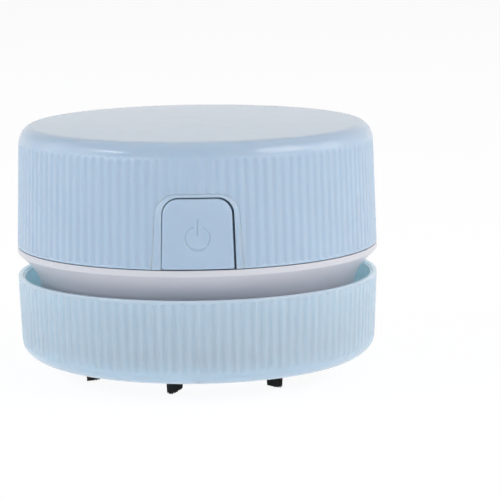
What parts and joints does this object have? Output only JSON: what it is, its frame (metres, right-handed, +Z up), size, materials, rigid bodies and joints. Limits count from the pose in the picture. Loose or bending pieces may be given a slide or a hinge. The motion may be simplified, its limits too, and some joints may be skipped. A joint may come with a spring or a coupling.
{
  "type": "desktop mini vacuum cleaner",
  "caption": "Round fluted desk vacuum cleaner with a push button, a lift-off top over motor and cells, a twist-off dust cup with filter, and bristle tufts underneath.",
  "frame": {"origin": "on the desk under the middle of the cleaner, where the bristle tips touch it", "axes": "+Z up along the motor's shaft, -Y towards the power button, +X to the right seen from the button's side"},
  "size_m": [0.086, 0.0861, 0.0608],
  "materials": {
    "blue_shell": "satin",
    "white_plastic": "satin",
    "grey_plastic": "satin",
    "black_plastic": "satin",
    "bristle": "matte",
    "seal_rubber": "matte",
    "wire_sleeve": "satin",
    "mesh": "matte",
    "cell_jacket": "satin",
    "nickel": "satin",
    "steel": "satin",
    "bronze": "satin",
    "copper": "satin",
    "ferrite": "matte"
  },
  "bodies": {
    "base": {"neck_frame": "white_plastic", "battery_tray": "grey_plastic", "battery_left": "cell_jacket", "battery_right": "cell_jacket", "battery_springs": "nickel", "contact_bridge": "nickel", "contact_tabs": "nickel", "switch_body": "black_plastic", "motor_can": "nickel", "motor_bushes": "bronze", "motor_magnets": "ferrite", "motor_end_cap": "white_plastic", "motor_terminals": "bronze", "motor_clamp": "grey_plastic", "wires": "wire_sleeve", "clamp_screws": "steel", "tray_screws": "steel", "fan_screws": "steel", "fan_plate": "grey_plastic"},
    "housing": {"top_housing": "blue_shell"},
    "button": {"power_button": "blue_shell", "switch_plunger": "white_plastic", "switch_spring": "steel"},
    "spinner": {"motor_shaft": "steel", "motor_core": "steel", "motor_windings": "copper", "motor_commutator": "copper", "impeller": "grey_plastic"},
    "filter": {"filter_holder": "white_plastic", "filter_mesh": "mesh", "seal_ring": "seal_rubber"},
    "cup": {"dust_bin": "blue_shell", "brush_ring": "black_plastic", "brush_tufts": "bristle"}
  },
  "joints": [
    {"name": "housing_lift", "type": "slide", "parent": "base", "child": "housing", "axis": [0, 0, 1], "range_m": [0, 0.035]},
    {"name": "power_press", "type": "slide", "parent": "base", "child": "button", "axis": [0, 1, 0], "range_m": [0, 0.0015], "stiffness_N_per_m": 800, "springref_m": -0.0005, "deforming": ["switch_spring"]},
    {"name": "impeller_spin", "type": "hinge", "parent": "base", "child": "spinner", "pos_m": [0, 0, 0.019], "axis": [0, 0, 1], "continuous": true},
    {"name": "cup_twist", "type": "hinge", "parent": "base", "child": "filter", "pos_m": [0, 0, 0.0134], "axis": [0, 0, 1], "range_deg": [0, 20]},
    {"name": "cup_pull", "type": "slide", "parent": "filter", "child": "cup", "axis": [0, 0, -1], "range_m": [0, 0.03]}
  ]
}
